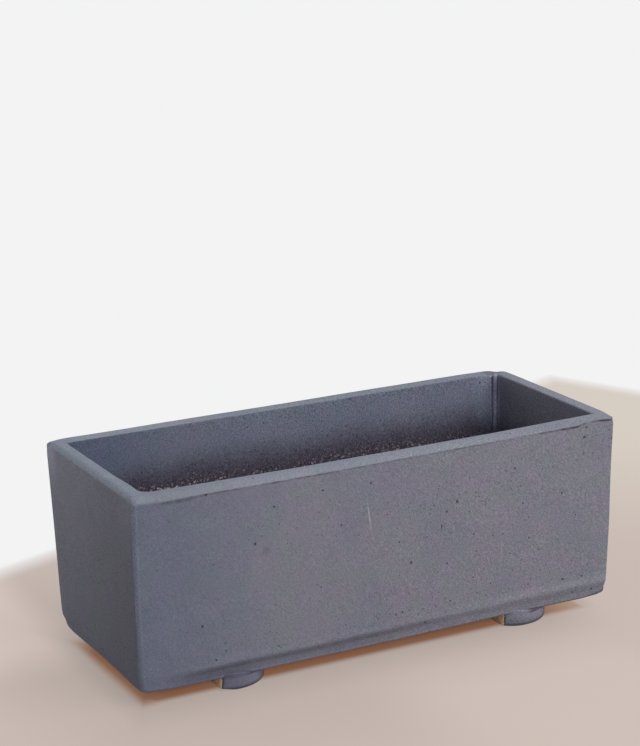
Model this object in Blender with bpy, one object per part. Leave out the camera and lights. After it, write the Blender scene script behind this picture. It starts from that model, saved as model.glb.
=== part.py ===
"""Oblong slab-built flower pot in charcoal stoneware.

A floor slab stands on four cut clay feet. Four leaning wall slabs stand on its edge and meet in mitres at
the corners, and clay coils are pressed into the seams inside. Metres, +Z up. The front face looks towards
-Y, and the origin lies on the table under the middle of the pot.
"""

import math

import bpy
from mathutils import Vector

# Overall size at the rim
LENGTH = 0.2400
WIDTH = 0.0978
HEIGHT = 0.0947

# Slabs
WALL = 0.0066
FLOOR = 0.0071
SEAM_GAP = 0.0003
END_TAPER = 0.0013
SIDE_TAPER = 0.0020

# How the front wall moved in the kiln: its rim leans out and sags in the middle
FRONT_BOW = 0.0012
FRONT_SAG = 0.0006

# Roundings of the slab edges
RIM_ROUND = 0.0013
SEAM_ROUND = 0.0009
BAND_LEAN = 0.0006
BAND_ROUND = 0.0016
OUTER_ROUND = {"front_left": 0.0030, "front_right": 0.0008, "back_right": 0.0065, "back_left": 0.0012}
INNER_ROUND = {"front_left": 0.0034, "front_right": 0.0008, "back_right": 0.0010, "back_left": 0.0012}

# Drain holes in the floor
DRAIN_RADIUS = 0.0080
DRAIN_SPACING = 0.1100
DRAIN_CHAMFER = 0.0010

# Coil along the foot of each wall, inside
FLOOR_COIL = 0.0060
FLOOR_COIL_HOLLOW = 0.0022
COIL_LIP = 0.0004

# Coil down each corner, inside: how far it reaches past the wall's own rounding, how far its front swells
# out (or, below zero, is smoothed hollow), and how far under the rim it ends
CORNER_COILS = {
    "front_left": {"reach": 0.0020, "swell": -0.0010, "below_rim": 0.0030},
    "front_right": {"reach": 0.0019, "swell": 0.0006, "below_rim": 0.0060},
    "back_right": {"reach": 0.0014, "swell": 0.0010, "below_rim": 0.0014},
    "back_left": {"reach": 0.0020, "swell": -0.0008, "below_rim": 0.0025},
}

# Feet: round pads with a slice cut off at this distance from their middle. The shorter pad sits near one end of
# the pot and the longer one near the other, and the back pair is the front pair turned half round.
FOOT_HEIGHT = 0.0062
FOOT_RADIUS = 0.0183
FOOT_OVERHANG = 0.0010
FOOT_CUT_ROUND = 0.0024
FOOT_TOP_ROUND = 0.0018
FOOT_SOLE_ROUND = 0.0008
SHORT_FOOT = {"cut": 0.0070, "inset": 0.0474}
LONG_FOOT = {"cut": 0.0106, "inset": 0.0455}

# Facets
ROUND_STEPS = 4
SIDE_STEPS = 12
DRAIN_STEPS = 40
FOOT_STEPS = 18

# Each side of the pot: the way along it, the way out of it, and the corners where it starts and ends
SIDES = {
    "front": (Vector((1, 0)), Vector((0, -1)), "front_left", "front_right"),
    "right": (Vector((0, 1)), Vector((1, 0)), "front_right", "back_right"),
    "back": (Vector((-1, 0)), Vector((0, 1)), "back_right", "back_left"),
    "left": (Vector((0, -1)), Vector((-1, 0)), "back_left", "front_left"),
}
CORNERS = {"front_left": (-1, -1), "front_right": (1, -1), "back_right": (1, 1), "back_left": (-1, 1)}

FLOOR_TOP = FOOT_HEIGHT + FLOOR
WALL_BOTTOM = FLOOR_TOP + SEAM_GAP
# The slab lies a little behind the origin, so that the bowed front rim leaves the whole pot centred
SLAB_Y = FRONT_BOW / 2

CHARCOAL = (0.155, 0.165, 0.205)
CHARCOAL_SHADE = (0.120, 0.122, 0.140)
BARE_CLAY = (0.060, 0.045, 0.045)
FOOT_CLAY = (0.180, 0.180, 0.215)


def steps(count):
    """The shares 0 to 1 in equal steps, both ends included."""
    return [index / count for index in range(count + 1)]


def half_sizes(z):
    """Half the pot's length and half its width at this height: the walls lean in towards the table."""
    down = (HEIGHT - z) / (HEIGHT - FOOT_HEIGHT)
    half_width = (WIDTH - FRONT_BOW) / 2
    return LENGTH / 2 - END_TAPER * down, half_width - SIDE_TAPER * down


def fired(point):
    """The point after the kiln: the front rim moved out and down, most at its middle, and not the seam."""
    half_length, half_width = half_sizes(HEIGHT)
    up = max(0.0, (point.z - WALL_BOTTOM) / (HEIGHT - WALL_BOTTOM))
    along = max(0.0, 1 - (point.x / half_length) ** 2)
    front = max(0.0, -point.y / half_width)
    share = up * along * front
    return Vector((point.x, point.y + SLAB_Y - FRONT_BOW * share, point.z - FRONT_SAG * share))


def side_points(side, inset, z, rounds, mitre_gap):
    """Plan points of one side, from one corner's mitre to the next, at a distance inside the outer face."""
    along, out, first, last = SIDES[side]
    half_length, half_width = half_sizes(z)
    reach, distance = (half_length, half_width) if along.x else (half_width, half_length)
    reach -= inset
    distance -= inset
    points = []
    for corner, sign in ((first, -1), (last, 1)):
        radius = max(rounds[corner], mitre_gap, SEAM_GAP)
        away = math.asin(mitre_gap / 2 / radius)
        turns = [(math.pi / 4 - away) * share for share in steps(ROUND_STEPS)]
        arc = [
            (sign * (reach - radius + radius * math.sin(turn)), distance - radius + radius * math.cos(turn))
            for turn in turns
        ]
        points.append(arc)
    start, end = list(reversed(points[0])), points[1]
    count = SIDE_STEPS if along.x else SIDE_STEPS // 2
    straight = [
        (start[-1][0] + (end[0][0] - start[-1][0]) * share, distance) for share in steps(count)[1:-1]
    ]
    return [fired((along * t + out * n).to_3d() + Vector((0, 0, z))) for t, n in start + straight + end]


def plan_loop(inset, z, rounds):
    """The closed plan outline of the whole pot at a height."""
    return [point for side in SIDES for point in side_points(side, inset, z, rounds, 0.0)[:-1]]


def loft(name, rows, colour):
    """A solid through closed loops that all have as many points, closed by a ladder of faces at each end."""
    count = len(rows[0])
    points = [point for row in rows for point in row]
    faces = []
    for row in range(len(rows) - 1):
        low, high = row * count, (row + 1) * count
        for index in range(count):
            after = (index + 1) % count
            faces.append((low + index, low + after, high + after, high + index))
    for base, flip in ((0, True), ((len(rows) - 1) * count, False)):
        for index in range((count - 1) // 2):
            rung = (index, index + 1, count - 2 - index, count - 1 - index)
            face = [base + corner for corner in dict.fromkeys(rung)]
            faces.append(face[::-1] if flip else face)
    mesh = bpy.data.meshes.new(name)
    mesh.from_pydata(points, [], faces)
    if signed_volume(mesh) < 0:
        mesh.flip_normals()
    mesh.shade_smooth()
    mesh.set_sharp_from_angle(angle=math.radians(32))
    piece = bpy.data.objects.new(name, mesh)
    bpy.context.scene.collection.objects.link(piece)
    mesh.materials.append(clay(name, colour))
    return piece


def signed_volume(mesh):
    mesh.calc_loop_triangles()
    total = 0.0
    for triangle in mesh.loop_triangles:
        a, b, c = (mesh.vertices[index].co for index in triangle.vertices)
        total += a.dot(b.cross(c))
    return total / 6


def clay(name, colour):
    """A matte fired-clay material of this piece's own."""
    material = bpy.data.materials.new(name)
    material.use_nodes = True
    shader = material.node_tree.nodes["Principled BSDF"]
    shader.inputs["Base Color"].default_value = (*colour, 1)
    shader.inputs["Roughness"].default_value = 0.72
    shader.inputs["Metallic"].default_value = 0.0
    return material


def quarter(radius, start_turn):
    """Points of a quarter circle about the origin, from this turn on."""
    turns = [start_turn + math.pi / 2 * share for share in steps(ROUND_STEPS)]
    return [(radius * math.cos(turn), radius * math.sin(turn)) for turn in turns]


def wall_section():
    """(inset, z, corner roundings) round a wall's cut section: outer face up, over the rim, inner face down."""
    seam = [
        (SEAM_ROUND + u, WALL_BOTTOM + SEAM_ROUND + v, OUTER_ROUND)
        for u, v in reversed(quarter(SEAM_ROUND, math.pi))
    ]
    outer = [
        (RIM_ROUND + u, HEIGHT - RIM_ROUND + v, OUTER_ROUND)
        for u, v in reversed(quarter(RIM_ROUND, math.pi / 2))
    ]
    inner = [
        (WALL - RIM_ROUND + u, HEIGHT - RIM_ROUND + v, INNER_ROUND)
        for u, v in reversed(quarter(RIM_ROUND, 0.0))
    ]
    return seam + outer + inner + [(WALL, WALL_BOTTOM, INNER_ROUND)]


def add_wall(side):
    """A wall slab, lofted along the pot's side from mitre to mitre."""
    lines = [side_points(side, inset, z, rounds, SEAM_GAP) for inset, z, rounds in wall_section()]
    return loft("wall_" + side, list(zip(*lines)), CHARCOAL if side in ("front", "back") else CHARCOAL_SHADE)


def add_floor():
    """The floor slab: its edge leans in towards the table, and its two long roundings frame the seam."""
    low = [
        (BAND_LEAN + BAND_ROUND + u, FOOT_HEIGHT + BAND_ROUND + v)
        for u, v in reversed(quarter(BAND_ROUND, math.pi))
    ]
    high = [
        (SEAM_ROUND + u, FLOOR_TOP - SEAM_ROUND + v) for u, v in reversed(quarter(SEAM_ROUND, math.pi / 2))
    ]
    rows = [plan_loop(inset, z, OUTER_ROUND) for inset, z in low + high]
    floor = loft("floor_slab", rows, BARE_CLAY)
    for name, sign in (("left", -1), ("right", 1)):
        drill = add_drain_drill("drain_drill_" + name, sign * DRAIN_SPACING / 2)
        hole = floor.modifiers.new("drain_hole_" + name, "BOOLEAN")
        hole.operation = "DIFFERENCE"
        hole.object = drill
    return floor


def add_drain_drill(name, x):
    """A cutter for one drain hole, wider where it leaves the slab at each face."""
    flare = DRAIN_RADIUS + 2 * DRAIN_CHAMFER
    profile = [
        (flare, FOOT_HEIGHT - DRAIN_CHAMFER),
        (DRAIN_RADIUS, FOOT_HEIGHT + DRAIN_CHAMFER),
        (DRAIN_RADIUS, FLOOR_TOP - DRAIN_CHAMFER),
        (flare, FLOOR_TOP + DRAIN_CHAMFER),
    ]
    rows = []
    for radius, z in profile:
        turns = [math.tau * index / DRAIN_STEPS for index in range(DRAIN_STEPS)]
        rows.append([Vector((radius * math.cos(turn), radius * math.sin(turn), z)) for turn in turns])
    drill = loft(name, rows, BARE_CLAY)
    drill.location = (x, SLAB_Y, 0)
    drill.hide_render = True
    drill.display_type = "WIRE"
    return drill


def floor_coil_height(distance):
    """The height of the floor coil's front at this distance from the wall, its slope carried on over its lip."""
    distance = max(distance, SEAM_GAP)
    curve = floor_coil_front()
    for (near, high), (far, low) in zip(curve, curve[1:]):
        if distance <= far:
            return high + (low - high) * (distance - near) / (far - near)
    return 0.0


def coil_front(start, middle, end):
    """Points down the front of a coil, as many as down its back."""
    pull = Vector((middle, middle))
    return [tuple(curve_point(Vector(start), pull, Vector(end), share)) for share in steps(ROUND_STEPS + 2)]


def floor_coil_front():
    """(distance from the wall, height above the floor) down the hollow front of the floor coil."""
    lip = SEAM_GAP + COIL_LIP
    return coil_front((lip, FLOOR_COIL), (FLOOR_COIL + SEAM_GAP) / 2 - FLOOR_COIL_HOLLOW, (FLOOR_COIL, lip))


def floor_coil_section():
    """The front of the floor coil, then its back: in along the floor and up the wall, level with the front."""
    front = floor_coil_front()
    bend = len(front) // 2
    up_wall = [(SEAM_GAP, height) for _, height in front[:bend]]
    on_floor = [(distance, SEAM_GAP) for distance, _ in front[bend + 1 :]]
    return front + on_floor[::-1] + [(SEAM_GAP, SEAM_GAP)] + up_wall[::-1]


def curve_point(start, pull, end, share):
    """A point of the curve from start to end that leans towards pull."""
    return start * (1 - share) ** 2 + pull * 2 * share * (1 - share) + end * share**2


def add_floor_coil(side):
    """The clay coil smoothed along the foot of one wall, lofted from mitre to mitre."""
    lines = [
        side_points(side, WALL + distance, FLOOR_TOP + height, INNER_ROUND, SEAM_GAP)
        for distance, height in floor_coil_section()
    ]
    return loft("floor_coil_" + side, list(zip(*lines)), BARE_CLAY)


def corner_coil_section(corner, scale):
    """Distances from the two walls round the coil's section: its back, along the corner, then its front."""
    coil = CORNER_COILS[corner]
    corner_round = INNER_ROUND[corner]
    size = corner_round + coil["reach"] * scale
    edge, lip = SEAM_GAP + size, SEAM_GAP + COIL_LIP
    turns = [math.pi / 2 * share for share in steps(ROUND_STEPS)]
    arc = [
        (SEAM_GAP + corner_round * (1 - math.sin(turn)), SEAM_GAP + corner_round * (1 - math.cos(turn)))
        for turn in reversed(turns)
    ]
    back = [(SEAM_GAP, edge)] + arc + [(edge, SEAM_GAP)]
    return back + coil_front((edge, lip), SEAM_GAP + size / 2 + coil["swell"] * scale, (lip, edge))


def add_corner_coil(corner):
    """The coil pressed down one inner corner: its foot lies on the floor coils and its top is rounded off."""
    sign_x, sign_y = CORNERS[corner]
    coil = CORNER_COILS[corner]
    top = HEIGHT - coil["below_rim"]
    turns = [math.radians(80) * share for share in steps(ROUND_STEPS)]
    levels = [(None, 1.0)]
    levels += [(top - coil["reach"] * (1 - math.sin(turn)), math.cos(turn)) for turn in turns]
    cut_corner = INNER_ROUND[corner] * (1 - math.sqrt(0.5))
    rows = []
    for level, scale in levels:
        row = []
        for from_end, from_side in corner_coil_section(corner, scale):
            nearest = min(from_end, from_side) - cut_corner
            z = level or FLOOR_TOP + floor_coil_height(nearest) + SEAM_GAP
            half_length, half_width = half_sizes(z)
            x = sign_x * (half_length - WALL - from_end)
            y = sign_y * (half_width - WALL - from_side)
            row.append(fired(Vector((x, y, z))))
        rows.append(row)
    return loft("corner_coil_" + corner, rows, CHARCOAL_SHADE)


def foot_outline(cut, inset, z):
    """Plan of a foot about the middle of its round pad: its cut side stays put while the rest draws in."""
    radius = FOOT_RADIUS - inset
    corner_x = FOOT_CUT_ROUND - cut
    corner_y = math.sqrt((radius - FOOT_CUT_ROUND) ** 2 - corner_x**2)
    turn_back = math.atan2(corner_y, corner_x)
    outline = []
    for share in steps(FOOT_STEPS):
        turn = turn_back * (2 * share - 1)
        outline.append((radius * math.cos(turn), radius * math.sin(turn)))
    corner = []
    for share in steps(ROUND_STEPS)[1:]:
        turn = turn_back + (math.pi - turn_back) * share
        corner.append((corner_x + FOOT_CUT_ROUND * math.cos(turn), corner_y + FOOT_CUT_ROUND * math.sin(turn)))
    outline += corner + [(x, -y) for x, y in reversed(corner)]
    return [Vector((x, y, z)) for x, y in outline]


def add_foot(name, foot, x, y, turned):
    """A clay pad under the floor slab, its cut side towards its own -X."""
    top = FOOT_HEIGHT - SEAM_GAP
    levels = [
        (FOOT_SOLE_ROUND * (1 - math.sin(turn)), FOOT_SOLE_ROUND * (1 - math.cos(turn)))
        for turn in [math.pi / 2 * share for share in steps(2)]
    ]
    levels += [
        (FOOT_TOP_ROUND * (1 - math.cos(turn)), top - FOOT_TOP_ROUND * (1 - math.sin(turn)))
        for turn in [math.pi / 2 * share for share in steps(ROUND_STEPS)]
    ]
    pad = loft(name, [foot_outline(foot["cut"], inset, z) for inset, z in levels], FOOT_CLAY)
    pad.location = (x, y, 0)
    pad.rotation_euler.z = math.pi if turned else 0.0
    return pad


def add_feet():
    """The four feet, each standing out a little past the foot of its long wall."""
    _, half_width = half_sizes(FOOT_HEIGHT)
    from_middle = half_width + FOOT_OVERHANG - FOOT_RADIUS
    front, back = SLAB_Y - from_middle, SLAB_Y + from_middle
    short_x = LENGTH / 2 - SHORT_FOOT["inset"]
    long_x = LENGTH / 2 - LONG_FOOT["inset"]
    return [
        add_foot("foot_front_left", SHORT_FOOT, -short_x, front, False),
        add_foot("foot_front_right", LONG_FOOT, long_x, front, False),
        add_foot("foot_back_right", SHORT_FOOT, short_x, back, True),
        add_foot("foot_back_left", LONG_FOOT, -long_x, back, True),
    ]


def main():
    for item in list(bpy.data.objects):
        bpy.data.objects.remove(item, do_unlink=True)
    pieces = [add_floor()]
    pieces += [add_wall(side) for side in SIDES]
    pieces += [add_floor_coil(side) for side in SIDES]
    pieces += [add_corner_coil(corner) for corner in CORNERS]
    pieces += add_feet()
    pot = bpy.data.objects.new("flower_pot", None)
    bpy.context.scene.collection.objects.link(pot)
    for piece in pieces:
        piece.parent = pot


main()
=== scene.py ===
"""Looks of an oblong slab-built flower pot in charcoal stoneware.

Each clay piece of the frame gets a finely modelled mesh in its place. The walls are drawn as one ring round the
pot, so that the surface runs on unbroken over the joints between them, and are then cut apart at the mitres.
"""

import math

import bpy
import numpy as np
from mathutils import Matrix, Vector, noise


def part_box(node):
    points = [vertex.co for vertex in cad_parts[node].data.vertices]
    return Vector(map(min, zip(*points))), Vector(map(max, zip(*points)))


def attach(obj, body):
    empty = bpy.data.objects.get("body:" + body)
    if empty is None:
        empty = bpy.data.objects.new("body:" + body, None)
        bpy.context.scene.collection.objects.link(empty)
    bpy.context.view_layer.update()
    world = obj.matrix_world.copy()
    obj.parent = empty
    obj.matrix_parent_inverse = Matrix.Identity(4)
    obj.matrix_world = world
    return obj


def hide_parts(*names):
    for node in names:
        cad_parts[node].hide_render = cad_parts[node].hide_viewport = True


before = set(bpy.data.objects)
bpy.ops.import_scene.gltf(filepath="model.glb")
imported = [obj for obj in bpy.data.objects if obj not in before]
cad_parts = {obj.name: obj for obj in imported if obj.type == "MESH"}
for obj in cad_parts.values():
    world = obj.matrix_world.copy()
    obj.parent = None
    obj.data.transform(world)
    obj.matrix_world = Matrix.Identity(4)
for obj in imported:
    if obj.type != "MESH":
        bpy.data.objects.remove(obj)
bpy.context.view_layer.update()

MM = 0.001

SIDES = {
    "front": ((1, 0), (0, -1), "front_left", "front_right"),
    "right": ((0, 1), (1, 0), "front_right", "back_right"),
    "back": ((-1, 0), (0, 1), "back_right", "back_left"),
    "left": ((0, -1), (-1, 0), "back_left", "front_left"),
}
CORNERS = {"front_left": (-1, -1), "front_right": (1, -1), "back_right": (1, 1), "back_left": (-1, 1)}


def at_corners(*values):
    return dict(zip(CORNERS, values))


def at_sides(*values):
    return dict(zip(SIDES, values))


# All lengths below are in millimetres, up to where a mesh is made. Sizes read from the frame:
RIM_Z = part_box("wall_back")[1].z / MM
FLOOR_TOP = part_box("floor_slab")[1].z / MM
SLAB_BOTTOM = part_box("floor_slab")[0].z / MM
HALF_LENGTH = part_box("wall_right")[1].x / MM
BACK_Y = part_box("wall_back")[1].y / MM
FRONT_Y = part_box("wall_front")[0].y / MM

# Slabs, as the frame's solids have them
WALL = 6.6
FRONT_BOW = 1.2
FRONT_SAG = 0.6
END_TAPER = 1.3
SIDE_TAPER = 2.0
SEAM_Z = FLOOR_TOP + 0.15
HALF_WIDTH = (BACK_Y - FRONT_Y - FRONT_BOW) / 2
MIDDLE_Y = BACK_Y - HALF_WIDTH
OUTER_ROUND = at_corners(3.0, 0.9, 6.5, 1.1)
INNER_ROUND = at_corners(5.8, 0.8, 1.0, 1.2)

# How much rounder each outer corner is worn at the rim and at the foot
OUTER_WEAR = at_corners((0, 0), (1.8, 1.3), (0, 0), (0.9, 4.4))

# Outer edge of the rim: how far down its rounding reaches and the turn in degrees that it ends at. The front's stops
# short, so that its lower edge stands out as a lip: lower towards the left, and stepping up to the right corner.
RIM_EDGE = at_sides((2.1, 30), (0.9, 0), (0.7, 0), (3.0, 0)) | at_corners((3.0, 8), (0.4, 24), (0.9, 0), (1.3, 0))
LIP_LOWER_LEFT = 0.6
LIP_FALL_LEFT = 0.7
LIP_TURN_LEFT = 15
LIP_STEP = 1.15
RIM_INNER = 0.85

# How much thicker the left wall is than the others: most just behind its front corner
THICKER = {"left": 0.05, "front_left": 0.15}
LEFT_SWELL = 0.8

# The smeared lip of clay under the front rim's rounding
LIP_OUT, LIP_UNDER, LIP_FADE = 0.32, 0.22, 1.1

# How far each corner stands out past the plain slabs, at these heights
FULL_HEIGHTS = (13, 40, 70, 95)
CORNER_FULL = at_corners((-0.6, -0.1, 0, 0), (0.5, 0.75, 0.5, 0.7), (0, 0, 0, 0), (-0.95, -0.3, 0.32, 0.8))

# The slab's edge: height and depth of its lower rounding, its lean, and the hollow and ridge pressed into it
EDGE_ROUND = at_sides((1.1, 1.1), (1.8, 1.5), (1.5, 1.5), (5.0, 3.6))
EDGE_ROUND |= at_corners((2.3, 2.0), (5.4, 2.8), (2.2, 2.0), (3.8, 2.8))
EDGE_REACH = at_sides(0.17, 0.12, 0.12, 1.0)
EDGE_LEAN = 0.4
FRONT_EDGE_LOW = 0.4
HOLLOW_Z, HOLLOW_DEPTH, HOLLOW_WIDTH = 10.0, 0.2, 1.9
RIDGE_Z, RIDGE_OUT, RIDGE_WIDTH = 13.4, 0.2, 1.5

# Dip of the rim over the back right corner's coil, and where the rim's corners are worn down: how far and how wide
DIP_DEPTH, DIP_WIDTH, DIP_ASIDE = 0.7, 2.8, 1.6
WORN_CORNERS = (
    (HALF_LENGTH, MIDDLE_Y - HALF_WIDTH, 1.0, 5.5),
    (-HALF_LENGTH, BACK_Y, 0.65, 5.0),
    (HALF_LENGTH, BACK_Y, 0.34, 12.0),
)

# Coils inside
FLOOR_COIL = 6.0
FLOOR_COIL_PULL = 0.95
SUNK = 0.5
CORNER_COILS = {
    "front_left": {"reach": 2.0, "swell": -1.0, "below_rim": 3.0},
    "front_right": {"reach": 1.9, "swell": 0.6, "below_rim": 6.0},
    "back_right": {"bead": 1.2, "from_end": 0.9, "from_side": 1.05, "below_rim": 0.45},
    "back_left": {"reach": 2.0, "swell": -0.8, "below_rim": 2.5},
}

# Drain holes
DRAIN_RADIUS = 8.0
DRAIN_X = 55.0
DRAIN_WEAR = 0.9

# Feet: round pads with a slice cut off
FOOT_CUT_ROUND = 2.4
FOOT_TOP_ROUND = 0.5
FOOT_CUT_MORE = {"front_left": (0.9, 0.35, 0.9)}
FOOT_SOLE_ROUND = 0.7

# Columns of the surface along each side and round each half corner
COLUMNS = at_sides(300, 96, 200, 96)
FLOOR_COLUMNS = at_sides(240, 80, 180, 80)
CORNER_COLUMNS = 9


def srgb(red, green, blue):
    """A screen colour of 0 to 255 as the linear colour that shaders take."""
    levels = []
    for level in (red, green, blue):
        share = level / 255
        levels.append(share / 12.92 if share <= 0.04045 else ((share + 0.055) / 1.055) ** 2.4)
    return (*levels, 1.0)


def smooth(value, low, high):
    """0 below low, 1 above high and a soft step between."""
    share = np.clip((value - low) / (high - low), 0.0, 1.0)
    return share * share * (3 - 2 * share)


def fade(value, low, high):
    return 1 - smooth(value, low, high)


def bell(value, middle, width):
    return np.exp(-(((value - middle) / width) ** 2))


def circle(turns):
    return np.column_stack([np.cos(turns), np.sin(turns)])


def wobble(points, size, seed):
    """Smooth noise of -1 to 1 at each point, with features of about this size."""
    shift = Vector((seed * 7.31, seed * 3.17, seed * 5.23))
    values = [noise.noise(Vector(point) / size + shift) for point in points.reshape(-1, 3).tolist()]
    return np.array(values).reshape(points.shape[:-1])


def half_sizes(z):
    """Half the pot's length and width at this height: the walls lean in towards the table."""
    down = (RIM_Z - z) / (RIM_Z - SLAB_BOTTOM)
    return HALF_LENGTH - END_TAPER * down, HALF_WIDTH - SIDE_TAPER * down


def fired(points):
    """The points after the kiln: the front rim moved out and down, most at its middle."""
    up = np.clip((points[..., 2] - SEAM_Z) / (RIM_Z - SEAM_Z), 0, None)
    along = np.clip(1 - (points[..., 0] / HALF_LENGTH) ** 2, 0, None)
    front = np.clip(-points[..., 1] / HALF_WIDTH, 0, None)
    share = up * along * front
    moved = points.copy()
    moved[..., 1] += MIDDLE_Y - FRONT_BOW * share
    moved[..., 2] -= FRONT_SAG * share
    return moved


def column_count(columns):
    return columns + 1 + 2 * CORNER_COLUMNS


def positions(columns):
    """-1 to 1 along a side, a value for each column."""
    return np.linspace(-1, 1, column_count(columns))


def along_side(columns, first, middle, last, reach=0.1):
    """A value for each column of a side: the corners' values at its ends, its own value between them."""
    position = positions(columns)
    share = smooth(np.abs(position), 1 - reach, 1.0)
    return middle * (1 - share) + np.where(position < 0, first, last) * share


def side_grid(side, inset, z, rounding, columns):
    """Points of one side from mitre to mitre. inset and z have a row for each line of the section and one column,
    or a column for each column of the side; rounding is that of the two corners, a value for each row."""
    along, out, _, _ = SIDES[side]
    inset = np.broadcast_to(inset, (len(inset), column_count(columns)))
    z = np.broadcast_to(z, inset.shape)
    half_length, half_width = half_sizes(z)
    reach, distance = (half_length, half_width) if along[0] else (half_width, half_length)
    reach, distance = reach - inset, distance - inset
    start, end = rounding
    turns = np.linspace(math.pi / 4, 0, CORNER_COLUMNS + 1)
    edge = CORNER_COLUMNS + 1
    share = np.linspace(0, 1, columns + 1)[1:-1]
    t = np.empty(inset.shape)
    n = distance.copy()
    t[:, :edge] = -(reach[:, :edge] - start + start * np.sin(turns))
    n[:, :edge] -= start * (1 - np.cos(turns))
    t[:, -edge:] = reach[:, -edge:] - end + end * np.sin(turns[::-1])
    n[:, -edge:] -= end * (1 - np.cos(turns[::-1]))
    middle = reach[:, edge:-edge]
    t[:, edge:-edge] = (start - middle) * (1 - share) + (middle - end) * share
    x = along[0] * t + out[0] * n
    y = along[1] * t + out[1] * n
    return fired(np.stack([x, y, z], axis=-1))


def outer_round(corner, z):
    """A corner's outer rounding at this height."""
    at_rim, at_foot = OUTER_WEAR[corner]
    at_rim *= smooth(z, RIM_Z - 7, RIM_Z - 1)
    at_foot *= fade(z, SLAB_BOTTOM, SLAB_BOTTOM + 11)
    return OUTER_ROUND[corner] + at_rim + at_foot


def ring_grid(section, columns):
    """The section drawn all round the pot: the grid, its heights above the rim's outer rounding, and the column
    where each side starts."""
    grids, heights, starts, total = [], [], {}, 0
    for side in SIDES:
        _, _, first, last = SIDES[side]
        rows = section(side, columns[side])
        inner, z = rows["inner"], rows["z"][:, :1]
        rounding = [inner * INNER_ROUND[corner] + (1 - inner) * outer_round(corner, z) for corner in (first, last)]
        grid = side_grid(side, rows["inset"], rows["z"], rounding, columns[side])
        starts[side] = total
        grids.append(grid[:, :-1])
        heights.append(np.broadcast_to(rows["above"], grid.shape[:2])[:, :-1])
        total += grid.shape[1] - 1
    return np.hstack(grids), np.hstack(heights), starts


def unit(vectors):
    return vectors / np.maximum(np.linalg.norm(vectors, axis=-1, keepdims=True), 1e-12)


def normals_of(grid):
    """Normals of a grid that closes on itself along its columns, pointing out of the clay."""
    across = np.roll(grid, -1, axis=1) - np.roll(grid, 1, axis=1)
    return unit(np.cross(across, np.gradient(grid, axis=0)))


def add_object(name, data):
    made = bpy.data.objects.new(name, data)
    bpy.context.scene.collection.objects.link(made)
    return made


def make_mesh(name, points, faces, slots=None, normals=None, shares=None):
    """A smooth-shaded mesh object. shares are named values, one for each point, that the materials read."""
    mesh = bpy.data.meshes.new(name)
    mesh.from_pydata((points * MM).reshape(-1, 3).tolist(), [], faces)
    if slots is not None:
        mesh.polygons.foreach_set("material_index", np.asarray(slots, dtype=np.int32))
    for key, values in (shares or {}).items():
        attribute = mesh.attributes.new(key, "FLOAT", "POINT")
        attribute.data.foreach_set("value", np.asarray(values, dtype=np.float32).reshape(-1))
    mesh.shade_smooth()
    mesh.set_sharp_from_angle(angle=math.radians(42))
    if normals is not None:
        mesh.normals_split_custom_set_from_vertices(normals.reshape(-1, 3).tolist())
    return add_object(name, mesh)


def numbered(grid):
    """The numbers of a grid's points, in its rows and columns."""
    return np.arange(grid[..., 0].size).reshape(grid.shape[:2])


def grid_faces(index):
    quads = np.stack([index[:-1, :-1], index[:-1, 1:], index[1:, 1:], index[1:, :-1]], axis=-1)
    return quads.reshape(-1, 4).tolist()


def tube_faces(grid):
    """Faces of a grid that closes on itself along its columns. The last two close off its first and last row."""
    index = numbered(grid)
    return grid_faces(np.hstack([index, index[:, :1]])) + [index[0, ::-1].tolist(), index[-1].tolist()]


def strip_faces(grid):
    """Faces of a grid that closes on itself along its rows. The last two close off its first and last column."""
    index = numbered(grid)
    return grid_faces(np.vstack([index, index[:1]])) + [index[::-1, 0].tolist(), index[:, -1].tolist()]


def clay_relief(points):
    """How far hand-worked clay stands out from the plain slab at each point."""
    relief = 0.11 * wobble(points, 60, 1)
    relief += 0.09 * wobble(points, 24, 2)
    relief += 0.04 * wobble(points, 7, 3)
    relief += 0.02 * wobble(points, 2.4, 4)
    return relief


def plan_wobble(points, size, seed):
    """Smooth noise that is the same at every height."""
    return wobble(points * (1, 1, 0), size, seed)


def hollow_strength(points):
    """How deep the hollow in the slab's edge is: deepest left of the front's middle, faint at the ends."""
    x, y = points[..., 0], points[..., 1]
    front = 0.1 + 1.00 * smooth(x, -108, -84) - 0.5 * smooth(x, -20, 50)
    front -= 0.35 * smooth(x, 98, 114)
    on_front = smooth(MIDDLE_Y - y, HALF_WIDTH - 9, HALF_WIDTH - 4)
    strength = on_front * front + (1 - on_front) * (0.14 + 0.3 * smooth(y, 20, 46))
    return strength * (1 + 0.4 * plan_wobble(points, 12, 5))


def edge_relief(points):
    """The hollow and the ridge along the slab's edge."""
    strength = hollow_strength(points)
    z = points[..., 2] + 0.55 * plan_wobble(points, 22, 6)
    relief = -HOLLOW_DEPTH * strength * bell(z, HOLLOW_Z, HOLLOW_WIDTH)
    return relief + RIDGE_OUT * np.minimum(1, 0.25 + strength) * bell(z, RIDGE_Z, RIDGE_WIDTH)


def lip_strength(points):
    """How strong the ragged lip under the front rim is: 0 off the front and at the soft left corner."""
    x, y = points[..., 0], points[..., 1]
    on_front = smooth(-y, HALF_WIDTH - 2.5, HALF_WIDTH - 1.5) * smooth(x, -111, -104)
    line = points * (1, 0, 0)
    ragged = 0.58 + 0.75 * wobble(line, 8, 7) + 0.75 * wobble(line, 2.3, 8)
    return on_front * np.clip(ragged, 0.06, 1.3) * (0.85 + 0.35 * smooth(x, 70, 90))


def lip_relief(strength, above):
    """The lip itself, from its sharp underside up into the rounding."""
    return LIP_OUT * strength * smooth(above, -LIP_UNDER, 0) * fade(above, 0.05, LIP_FADE)


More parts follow.
